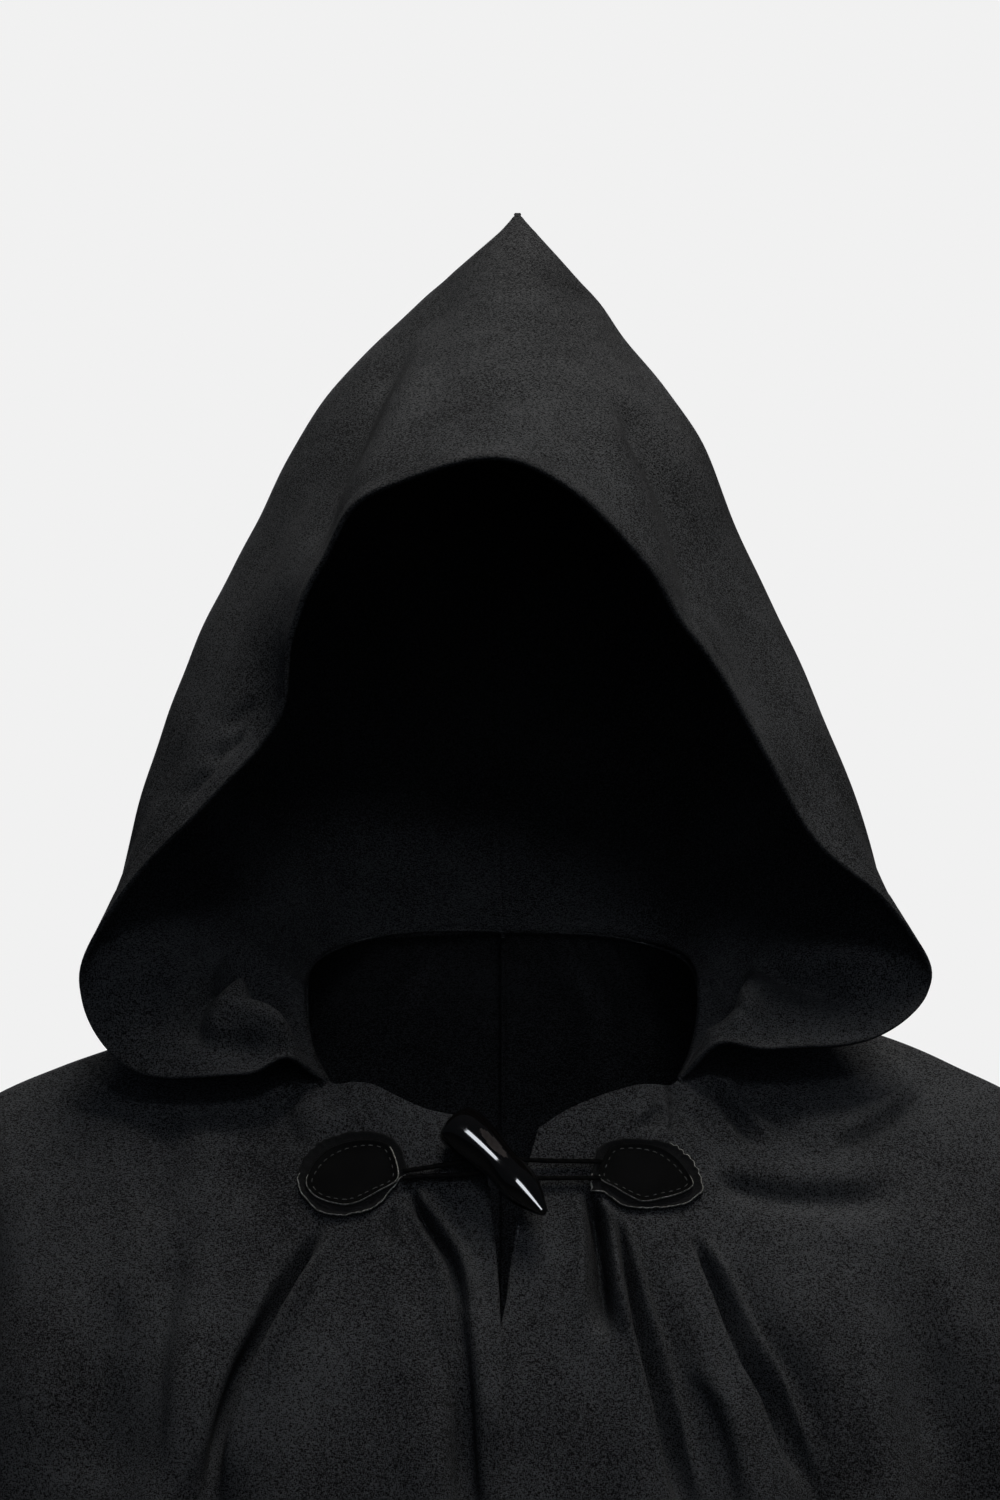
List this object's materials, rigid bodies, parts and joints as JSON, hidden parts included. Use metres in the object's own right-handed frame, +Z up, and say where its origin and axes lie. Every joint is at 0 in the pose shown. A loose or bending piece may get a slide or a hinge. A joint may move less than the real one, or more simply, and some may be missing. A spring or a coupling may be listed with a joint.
{
  "type": "hooded cloak",
  "caption": "Full-length cloak of thin wool cloth with a large pointed hood worn up, closed at the neck by a horn toggle through cord loops held by leather patches.",
  "frame": {"origin": "middle of the neck opening, at the height where the hood's front edges meet the neck seam", "axes": "+Z up, the front faces -Y, +X is the wearer's left"},
  "size_m": [0.9071, 0.6176, 1.7727],
  "materials": {
    "wool_cloth": "matte black fine wool cloth",
    "patch_cloth": "matte black cloth with a frayed edge",
    "leather": "smooth black leather",
    "cord": "black braided cord",
    "horn": "polished black horn"
  },
  "bodies": {
    "root": {"body_right": "wool_cloth", "body_left": "wool_cloth", "hood": "wool_cloth", "patch_backing_right": "patch_cloth", "patch_backing_left": "patch_cloth", "patch_leather_right": "leather", "patch_leather_left": "leather", "toggle_cord_right": "cord", "toggle_cord_left": "cord", "toggle": "horn"}
  },
  "joints": []
}
